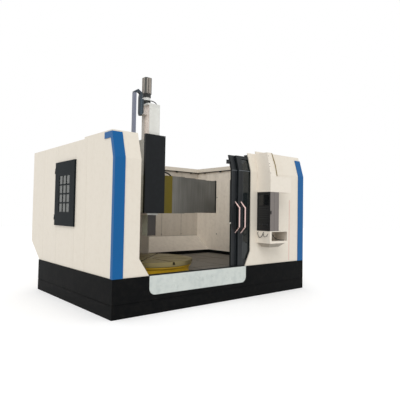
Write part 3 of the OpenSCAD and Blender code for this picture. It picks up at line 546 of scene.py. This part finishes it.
# Float glass that is seen against a pale room: a smooth mid grey.
hatch_pane = finish("pale_float_glass", tinted("#565955", 0.12, 0.2))
dress(hatch_pane, "hatch_glass")
pane_low, pane_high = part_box("hatch_glass")
leaf_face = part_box("hatch_leaf")[0].x
bar_y = pane_low.y + (pane_high.y - pane_low.y) * np.array([1, 2]) / 3
bar_z = pane_low.z + (pane_high.z - pane_low.z) * np.array([1, 2, 3]) / 4
bars = [
    ((leaf_face + 0.001, y - THIN_BAR / 2, pane_low.z), (pane_low.x, y + THIN_BAR / 2, pane_high.z))
    for y in bar_y
]
bars += [
    ((leaf_face + 0.002, pane_low.y, z - CROSS_BAR / 2), (pane_low.x, pane_high.y, z + CROSS_BAR / 2))
    for z in bar_z
]
piece("hatch_bars", [blocks(bars)], hatch_coat, "side_hatch")


# The column and the cross beam: iron castings, bolted together and painted with a thick
# yellow enamel that follows their rough skin. Pale paint, splashed with coolant and greyed
# as painted shade, covers the column's front under the beam.
SPLASH_TOP = 1.9
# Deep yellow with brown dust in the hollows of its coarse peel.
yellow_enamel = enamel(
    "yellow_casting_enamel", "#c89e0a", 0.36, 0.12, grain_mm=9, depth_mm=0.3, dust="#6f5a1c", dusty=0.25
)
dress(yellow_enamel, "cross_beam")


def splashed_and_shaded_front(middles, facing):
    """True for the faces of the column's front that lie under the beam."""
    return (facing[:, 1] < -0.5) & (middles[:, 2] < SPLASH_TOP)


painted_by("column", [yellow_enamel, shaded_splashed_coat], splashed_and_shaded_front)


# The table: a cast base in the same yellow, and an iron disc that was turned flat on the
# machine itself. Its face shows the rings of the tool under a thin film of oil, between
# milled T slots.
dress(yellow_enamel, "table_base")
table_low, table_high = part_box("table_disc")
TABLE_MIDDLE = (0.5 * (table_low.x + table_high.x), 0.5 * (table_low.y + table_high.y), 0.0)
TABLE_R = 0.750
RING_MM = 9.09  # real tool marks are finer than a millimetre; these are drawn to show
OIL_MM = 333.3  # breadth of a patch of oil
table_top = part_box("table_face")[1].z


def turned_iron(tree, shader):
    """Turned iron: fine rings round the table's middle, with cloudy marks of oil. The
    rings are the sine of the distance from the middle."""
    place = add(tree, "ShaderNodeTexCoord").outputs["Object"]
    centre = tuple(-c for c in TABLE_MIDDLE)
    centred = add(tree, "ShaderNodeMapping", {"Vector": place, "Location": centre})
    split = add(tree, "ShaderNodeSeparateXYZ", {0: centred.outputs[0]})
    flat = add(tree, "ShaderNodeCombineXYZ", {0: split.outputs[0], 1: split.outputs[1]})
    away = add(tree, "ShaderNodeVectorMath", {0: flat.outputs[0]}, operation="LENGTH").outputs["Value"]
    phase = add(tree, "ShaderNodeMath", {0: away, 1: 2 * math.pi * 1000 / RING_MM}, operation="MULTIPLY")
    rings = add(tree, "ShaderNodeMath", {0: phase.outputs[0]}, operation="SINE")
    oil = patches(tree, OIL_MM, 6.0)
    tones = {0: oil, 6: linear("#6f6238"), 7: linear("#968a62")}
    tone = add(tree, "ShaderNodeMix", tones, data_type="RGBA")
    tree.links.new(tone.outputs[2], shader.inputs["Base Color"])
    dull = {"Value": oil, "From Min": 0.3, "From Max": 0.7, "To Min": 0.28, "To Max": 0.5}
    tree.links.new(add(tree, "ShaderNodeMapRange", dull).outputs[0], shader.inputs["Roughness"])
    shader.inputs["Metallic"].default_value = 0.55
    bump = add(tree, "ShaderNodeBump", {"Height": rings.outputs[0], "Strength": 0.3, "Distance": 0.0004})
    tree.links.new(bump.outputs[0], shader.inputs["Normal"])


def in_a_slot(middles, facing):
    """True for the faces below the table's top and inside its rim: slot walls and floors."""
    away = np.hypot(middles[:, 0] - TABLE_MIDDLE[0], middles[:, 1] - TABLE_MIDDLE[1])
    return (middles[:, 2] < table_top - 0.001) & (away < TABLE_R - 0.005) & (facing[:, 2] > -0.5)


# A yellowish grey sheen on the turned face. The slots are painted dark: oil, and painted shade in them.
iron = finish("turned_cast_iron", turned_iron)
shaded_slot_iron = enamel("oily_shaded_slot_iron", "#2b2620", 0.35, 0.2)
for table_node in ("table_face", "table_disc"):
    painted_by(table_node, [iron, shaded_slot_iron], in_a_slot)


# The saddle: a milled casting that slides on the beam, with a black hose that brings oil
# from the guide tower down to its right end. Its enamel is the castings' yellow, painted
# a dull olive as painted shade, with the same coarse peel as the yellow castings.
shaded_olive_enamel = enamel(
    "shaded_olive_casting_enamel", "#6a5c04", 0.4, 0.14, grain_mm=9, depth_mm=0.3, dust="#5d5415", dusty=0.3
)
dress(shaded_olive_enamel, "saddle_plate")


def eased(points, count):
    """A smooth path through points: between two of them, the Catmull-Rom cubic of them
    and their neighbours, at even steps."""
    points = np.asarray(points, float)
    longer = np.vstack([2 * points[0] - points[1], points, 2 * points[-1] - points[-2]])
    step = np.linspace(0, len(points) - 1, count)
    index = np.minimum(step.astype(int), len(points) - 2)
    t = (step - index)[:, None]
    a, b, c, d = (longer[index + k] for k in range(4))
    return 0.5 * (2 * b + (c - a) * t + (2 * a - 5 * b + 4 * c - d) * t**2 + (3 * b - a - 3 * c + d) * t**3)


def cable(name, path, diameter, material, body, level=(0.0, 0.0, 1.0)):
    """A round cable carried along its path."""
    made = piece(name, [carried(circle(diameter / 2), path, level)], material, body, smooth=True)


saddle_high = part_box("saddle_plate")[1]
tower_low, tower_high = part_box("ram_tower")
hose_y = tower_low.y + 0.024
hose_path = eased(
    [
        (tower_high.x - 0.004, hose_y, tower_low.z + 0.060),
        (tower_high.x + 0.090, hose_y, tower_low.z + 0.066),
        (tower_high.x + 0.190, hose_y, tower_low.z + 0.062),
        (saddle_high.x - 0.100, hose_y, tower_low.z + 0.046),
        (saddle_high.x - 0.045, hose_y, tower_low.z + 0.018),
        (saddle_high.x - 0.020, hose_y, tower_low.z - 0.004),
    ],
    48,
)
cable("saddle_hose", hose_path, 0.026, rubber, "saddle", (0, 1, 0))


# The telescopic covers: brushed sheet steel that slides over itself on both sides of
# the saddle, with fine streaks up and down from brushing and wear. Dark enamelled
# plates close the beam's ends behind them.
STREAK_MM = 11.11  # real brushing is finer; this is drawn as coarse as it needs to show
BAND_MM = 500  # breadth of the soft paler and darker bands


def brushed_steel(tree, shader):
    """Brushed steel: fine streaks up and down over broad soft changes of tone."""
    fine = patches(tree, STREAK_MM, 3.0, (1.0, 1.0, 0.02))
    broad = patches(tree, BAND_MM, 2.0, (0.8, 0.8, 0.6))
    wide = add(tree, "ShaderNodeMapRange", {"Value": broad, "From Min": 0.3, "From Max": 0.7})
    tones = {0: wide.outputs[0], 6: linear("#72706a"), 7: linear("#a09e97")}
    tone = add(tree, "ShaderNodeMix", tones, data_type="RGBA").outputs[2]
    line = {"Value": fine, "From Min": 0.35, "From Max": 0.7, "To Max": 0.4}
    streak = add(tree, "ShaderNodeMapRange", line)
    tones = {0: streak.outputs[0], 6: tone, 7: linear("#63605a")}
    tone = add(tree, "ShaderNodeMix", tones, data_type="RGBA").outputs[2]
    tree.links.new(tone, shader.inputs["Base Color"])
    shader.inputs["Metallic"].default_value = 0.6
    dull = {"Value": fine, "From Min": 0.3, "From Max": 0.7, "To Min": 0.42, "To Max": 0.55}
    tree.links.new(add(tree, "ShaderNodeMapRange", dull).outputs[0], shader.inputs["Roughness"])


# A grey sheen that changes in broad bands, drawn over with upright streaks.
brushed = finish("brushed_sheet_steel", brushed_steel)
dress(brushed, *[f"cover_{side}_{k}" for side in ("left", "right") for k in (1, 2, 3, 4)])
# Dark grey with a soft shine, as machine builders use for small castings.
dark_enamel = enamel("dark_machine_enamel", "#202221", 0.45, 0.12, gloss=0.35)
dress(dark_enamel, "beam_end_plates")


# The ram: a pale enamelled square column that slides in iron cheeks behind a folded
# black hood. A bolted plate covers its front, the tool block hangs under it, and three
# small brackets stand on the left of the tower.
RAM_PLATE = 0.0015  # the hood's back runs 2 mm in front of the ram
PLATE_LOW, PLATE_DROP = 1.46, 0.030
# The hood is blue black and mirrors the room softly.
hood_coat = enamel("satin_black_hood_coat", "#0a0e12", 0.3, 0.1, dust="#23282c", dusty=0.2, gloss=0.22)
dress(hood_coat, "ram_cover")
# Tower and cheeks are grey castings, and the cheeks are rubbed paler.
iron_grey = enamel("grey_casting_enamel", "#6b6960", 0.45, 0.15, dust="#44423a", dusty=0.3)
dress(iron_grey, "ram_tower")
cheek_grey = enamel("worn_cheek_enamel", "#a7a49a", 0.42, 0.1, dust="#77746a", dusty=0.3)
dress(cheek_grey, "ram_guides")
# The ram is a cool pale grey in front and a warm primer on its sides, painted paler than the front as painted
# light, with oily runs.
pale_enamel = enamel("pale_ram_enamel", "#d9d9d4", 0.38, 0.03, dust="#b4b0a6", dusty=0.12, runs=0.12)
lit_side_primer = enamel("lit_ram_side_primer", "#ecdfd5", 0.42, 0.04, dust="#c9b9ab", dusty=0.2, runs=0.25)
painted_by("ram_column", [pale_enamel, lit_side_primer], lambda middles, facing: np.abs(facing[:, 0]) > 0.5)
ram_low, ram_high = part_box("ram_column")
plate_start = (ram_low.x + 0.012, ram_low.y - RAM_PLATE, PLATE_LOW)
ram_plate = (plate_start, (ram_high.x - 0.010, ram_low.y, ram_high.z - PLATE_DROP))
# The plate is a shade brighter, with the same runs.
bright_pale = enamel("pale_plate_enamel", "#e3e3dd", 0.36, 0.03, dust="#c2bfb5", dusty=0.2, runs=0.2)
piece("ram_front_plate", [blocks([ram_plate])], bright_pale, "ram")
# The tool block is dark oiled steel, and its left face is a pale grey.
tool_steel = enamel("oiled_tool_steel", "#2f2823", 0.4, 0.2)
pale_left_grey = enamel("pale_grey_left_face_enamel", "#b9bbac", 0.45, 0.12, dust="#6a685c", dusty=0.3)
painted_by("tool_block", [tool_steel, pale_left_grey], lambda middles, facing: facing[:, 0] < -0.5)
BRACKETS = (  # how far each stands out, its front and rear from the tower's, its foot and head
    (0.032, -0.035, 0.030, 2.50, 2.56),
    (0.024, -0.020, 0.030, 2.59, 2.67),
    (0.040, -0.010, 0.020, 2.36, 2.41),
)
brackets = [
    ((tower_low.x - out, tower_low.y + front, foot), (tower_low.x, tower_low.y + rear, head))
    for out, front, rear, foot, head in BRACKETS
]
piece("tower_brackets", [blocks(brackets)], dark_enamel, "saddle", bevel=0.003)


# The cable chain: moulded nylon links on pins that carry the motor's cables from a
# folded steel post to the top of the ram, where a strip and a duct take them down.
LINK_PITCH, LINK_L, LINK_PROUD = 0.034, 0.026, 0.0015
LINK_IN, LINK_BACK, LINK_D = 0.004, 0.006, 0.042
LEG_LOW, LEG_HIGH = 3.135, 3.43
LEG_IN, LEG_W = 0.122, 0.042  # from the chain's left side to its hanging leg, and through it
STRIP_OUT, DUCT_TOP = 0.0225, 3.1465
chain_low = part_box("cable_chain")[0]
leg_left = chain_low.x + LEG_IN
leg_right = leg_left + LEG_W
# The post is a blue grey with a soft shine.
post_enamel = enamel("blue_grey_enamel", "#767a8a", 0.42, 0.06, dust="#5a5e6a", dusty=0.2)
dress(post_enamel, "chain_post")


def strip_or_duct(middles, facing):
    """True for the strip against the ram and the duct under the hanging leg."""
    x, z = middles[:, 0], middles[:, 2]
    return (x > ram_low.x - STRIP_OUT) | ((z < DUCT_TOP) & (x > leg_right + 0.001))


# Nylon is a blue black, its link plates paler with wear, and the duct a light grey.
nylon = enamel("black_nylon", "#28343d", 0.45, 0.12)
grey_duct = enamel("grey_duct_plastic", "#bdb7b0", 0.5, 0.08)
painted_by("cable_chain", [nylon, grey_duct], strip_or_duct)
link_face = enamel("worn_nylon", "#42505b", 0.4, 0.12)
link_y = chain_low.y
link_z = np.arange(LEG_LOW, LEG_HIGH - LINK_L, LINK_PITCH)
links = [
    ((leg_left + LINK_IN, link_y - LINK_PROUD, z), (leg_right - LINK_IN, link_y, z + LINK_L))
    for z in link_z
]
links += [
    ((leg_left - LINK_PROUD, link_y + LINK_BACK, z), (leg_left, link_y + LINK_BACK + LINK_D, z + LINK_L))
    for z in link_z
]
piece("chain_links", [blocks(links)], link_face, "ram")


# The servo motor: a finned aluminium body in dark enamel over a black flange and a
# white collar, bolted to a pale plate on the ram. A short cable comes out at its foot.
MOTOR_STEPS = (0.030, 0.100, 0.154, 0.216)  # heights of plate, adapter, collar and flange
MOTOR_HALF, FLANGE_HALF, GROOVE_IN = 0.070, 0.074, 0.066
BODY_PART, RIB_PAINT = 4, 5  # places in the motor's list of finishes
RIB_PROUD, RIB_EDGE = 0.0015, 0.012
RIB_SPANS = ((-0.036, -0.024), (-0.012, -0.001), (0.031, 0.043))
motor_low, motor_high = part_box("servo_motor")
motor_rise = ram_high.z + np.array(MOTOR_STEPS)
motor_middle = np.array([motor_low.x + FLANGE_HALF, motor_high.y - FLANGE_HALF])


def motor_part(middles, facing):
    """Plate, adapter, collar, flange and body by height; groove floors get the rib paint."""
    part = np.searchsorted(motor_rise, middles[:, 2] - 0.0005 * np.sign(facing[:, 2]))
    reach = np.abs(((middles[:, :2] - motor_middle) * facing[:, :2]).sum(axis=1))
    straight = np.abs(facing[:, :2]).max(axis=1) > 0.98
    return np.where((part == BODY_PART) & straight & (reach < GROOVE_IN), RIB_PAINT, part)


# A brownish dark grey body, on which the ribs are rubbed down to the pale metal.
motor_enamel = enamel("dark_motor_enamel", "#40403c", 0.38, 0.15)
cast_light = enamel("bare_cast_aluminium", "#b3aa9f", 0.4, 0.1)
motor_finishes = [pale_enamel, dark_enamel, pale_enamel, dark_enamel, motor_enamel, cast_light]
painted_by("servo_motor", motor_finishes, motor_part)
motor_x, motor_y = motor_middle
lead_path = eased(
    [
        (motor_x - 0.010, motor_y - 0.060, ram_high.z + 0.085),
        (motor_x + 0.040, motor_y - 0.100, ram_high.z + 0.088),
        (motor_x + 0.105, motor_y - 0.122, ram_high.z + 0.062),
        (motor_x + 0.150, motor_y - 0.128, ram_high.z - 0.003),
    ],
    28,
)
cable("motor_lead", lead_path, 0.016, rubber, "ram")
rib_foot, rib_head = motor_rise[3] + RIB_EDGE, motor_high.z - RIB_EDGE
ribs = []
for low, high in RIB_SPANS:
    for sign in (-1, 1):
        inner, outer = sorted((sign * MOTOR_HALF, sign * (MOTOR_HALF + RIB_PROUD)))
        a, b = sorted((sign * low, sign * high))
        ribs.append(((motor_x + a, motor_y + inner, rib_foot), (motor_x + b, motor_y + outer, rib_head)))
        ribs.append(((motor_x + inner, motor_y - b, rib_foot), (motor_x + outer, motor_y - a, rib_head)))
piece("motor_ribs", [blocks(ribs)], cast_light, "ram")


# The operator panel's carriers: a folded riser and arm, and under the pendant a shelf
# box with an open mouth and a keyboard tray, all in beige powder coat. A brown strip
# runs along the riser's edge, and four screws hold its cover.
MOUTH_LOW, MOUTH_HIGH = 0.980, 1.160
TRAY_LOW, TRAY_HIGH, TRAY_OUT = 0.948, 0.960, 0.006
# A shade warmer than the room, and painted paler as painted light.
lit_beige_coat = enamel("lit_beige_powder_coat", "#e5ddd0", 0.42, 0.02, dust="#c4b9a5", dusty=0.15)
dress(lit_beige_coat, "panel_riser", "panel_arm")
shelf_low, shelf_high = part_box("keyboard_shelf")


def shelf_side(middles, facing):
    """The shaded coat goes on the shelf's slanted underside and the darker mouth coat in its mouth: painted
    shade under it and inside it.
    """
    inside = (middles[:, 2] > MOUTH_LOW) & (middles[:, 2] < MOUTH_HIGH)
    inside &= (middles[:, 0] > shelf_low.x + 0.04) & (middles[:, 0] < shelf_high.x - 0.005)
    inside &= (facing[:, 1] > -0.5) | (middles[:, 1] > shelf_low.y + 0.05)
    return np.where(inside, 2, facing[:, 2] < -0.2)


# Painted shade: the slanted underside is a darker grey with dust patches, and the mouth a shade darker than
# the coat.
shaded_coat = enamel("shaded_dusty_beige_coat", "#a79e91", 0.5, 0.06, dust="#766e62", dusty=0.4)
shaded_mouth_coat = enamel("shaded_beige_mouth_coat", "#d3cabd", 0.45, 0.05, dust="#8b8275", dusty=0.3)
painted_by("keyboard_shelf", [lit_beige_coat, shaded_coat, shaded_mouth_coat], shelf_side)

riser_low, riser_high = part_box("panel_riser")
STRIP_PLACES = (  # from the riser's lower right front corner
    (0.0005, -0.002, 0.005),
    (-0.0040, 0.014, 0.110),
    (-0.0190, 0.038, 0.240),
    (-0.0410, 0.070, 0.360),
    (-0.0530, 0.082, 0.420),
)
strip_path = eased(np.array([riser_high.x, riser_low.y, riser_low.z]) + STRIP_PLACES, 20)
# A dull brown strip along the riser's right edge, with dark patches.
brown_strip_enamel = enamel("brown_edge_strip", "#7d6a35", 0.55, 0.2, dust="#3a3222", dusty=0.5)
strip = carried(circle(0.008, 8), strip_path, (1, 0, 0))
piece("riser_edge_strip", [strip], brown_strip_enamel, "root", smooth=True)
RISER_BACK = 0.086  # how far the riser's front leans back to its top
RISER_SCREW_Z = (2.19, 2.31, 2.36, 2.50)
riser_lean = RISER_BACK / (riser_high.z - riser_low.z)
riser_screws = [
    (riser_low.x + 0.015, riser_low.y + (z - riser_low.z) * riser_lean + 0.001, z) for z in RISER_SCREW_Z
]
piece("riser_screws", studs(riser_screws, 0.007, -0.004, 1), dark_enamel, "root", smooth=True)

# Two limp loops come out of the shelf's left face and go back in; a stiffer cable hangs
# from the mouth's ceiling and lies along its floor.
loop_x = shelf_low.x - 0.012
rear_loop = eased(
    [
        (0.762, -1.470, 1.150),
        (loop_x, -1.468, 1.118),
        (loop_x, -1.500, 1.052),
        (loop_x, -1.560, 1.062),
        (loop_x, -1.595, 1.122),
        (0.762, -1.600, 1.150),
    ],
    36,
)
front_loop = eased(
    [
        (0.762, -1.600, 1.120),
        (loop_x - 0.010, -1.612, 1.085),
        (loop_x - 0.010, -1.650, 1.062),
        (loop_x - 0.010, -1.690, 1.080),
        (0.762, -1.700, 1.120),
    ],
    30,
)
mouth_path = eased(
    [
        (0.900, -1.660, 1.150),
        (0.905, -1.668, 1.110),
        (0.960, -1.690, 1.040),
        (1.060, -1.700, 1.003),
        (1.190, -1.690, 0.996),
        (1.224, -1.670, 0.995),
    ],
    36,
)
cable("shelf_cable_rear", rear_loop, 0.010, rubber, "root", (1, 0, 0))
cable("shelf_cable_front", front_loop, 0.009, rubber, "root", (1, 0, 0))
cable("mouth_cable", mouth_path, 0.012, rubber, "root", (0, 1, 0))
rim_left, rim_right = shelf_low.x - TRAY_OUT, shelf_high.x + 2 * TRAY_OUT
rim = [
    ((rim_left, shelf_low.y - 0.008, TRAY_LOW), (rim_right, shelf_low.y, TRAY_HIGH)),
    ((rim_left, shelf_low.y, TRAY_LOW), (shelf_low.x, shelf_high.y - 0.007, TRAY_HIGH)),
]
piece("shelf_tray_rim", [blocks(rim)], lit_beige_coat, "root", bevel=0.002)


# The pendant: a sheet-steel box in textured enamel, with a framed screen, rows of keys
# and four knobs on its black left face, and a grey door with a lock on its front.
FRAME_OUT, FRAME_LEVEL, FRAME_UPRIGHT = 0.006, 0.018, 0.014
KEY_W, KEY_H, KEY_OUT, KEY_COLUMNS, KEY_ROWS = 0.022, 0.020, 0.0035, 8, 6
KNOB_R, KNOB_OUT, KNOB_COUNT = 0.016, 0.018, 4
DOOR_SHARE, DOOR_GAP = 0.45, 0.003  # the door starts at this share of the front's width
# Both enamels have a fine leathery grain; the grey one is streaked by hands and coolant.
pendant_black = enamel("textured_black_enamel", "#191a1b", 0.5, 0.1, grain_mm=2, depth_mm=0.1, gloss=0.35)
pendant_grey = enamel(
    "textured_grey_enamel", "#736c68", 0.48, 0.08, grain_mm=2, depth_mm=0.1, dust="#5b5552", runs=0.2
)
painted_by("operator_panel", [pendant_black, pendant_grey], lambda middles, facing: facing[:, 1] < -0.5)
pendant_low, pendant_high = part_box("operator_panel")
left, front, foot = pendant_low.x, pendant_low.y, pendant_low.z
right, back, head = pendant_high.x, pendant_high.y, pendant_high.z
frame_front, frame_back, frame_foot, frame_head = front + 0.004, back - 0.010, foot + 0.006, head - 0.006
upright_foot, upright_head = frame_foot + FRAME_LEVEL, frame_head - FRAME_LEVEL
frame_left = left - FRAME_OUT
frame_bars = [
    ((frame_left, frame_front, upright_head), (left, frame_back, frame_head)),
    ((frame_left, frame_front, frame_foot), (left, frame_back, upright_foot)),
    ((frame_left, frame_front, upright_foot), (left, frame_front + FRAME_UPRIGHT, upright_head)),
    ((frame_left, frame_back - FRAME_UPRIGHT, upright_foot), (left, frame_back, upright_head)),
]
piece("pendant_frame", [blocks(frame_bars)], pendant_black, "root")
# A screen that is switched off: black and smooth.
screen_glass = finish("dark_screen_glass", tinted("#121415", 0.15, 0.0))
screen = ((left - 0.002, front + 0.034, head - 0.240), (left, back - 0.040, head - 0.050))
piece("pendant_screen", [blocks([screen])], screen_glass, "root")
# Matt black plastic.
key_plastic = enamel("dark_key_plastic", "#1f2021", 0.55)
key_y = np.linspace(front + 0.040, back - 0.066, KEY_COLUMNS)
key_z = np.linspace(foot + 0.210, head - 0.290, KEY_ROWS)
keys = [((left - KEY_OUT, y, z), (left, y + KEY_W, z + KEY_H)) for y in key_y for z in key_z]
piece("pendant_keys", [blocks(keys)], key_plastic, "root")
knobs = [(left, y, foot + 0.110) for y in np.linspace(front + 0.06, back - 0.07, KNOB_COUNT)]
knob_shapes = studs(knobs, KNOB_R, -KNOB_OUT, 0, 20)
piece("pendant_knobs", knob_shapes, key_plastic, "root", smooth=True)
door_x = left + DOOR_SHARE * (right - left)
gap = ((door_x, front - 0.001, foot + 0.012), (door_x + DOOR_GAP, front, head - 0.012))
lock = ((left + 0.006, front - 0.010, foot + 0.30), (left + 0.024, front, foot + 0.36))
piece("pendant_door_gap", [blocks([gap, lock])], pendant_black, "root")
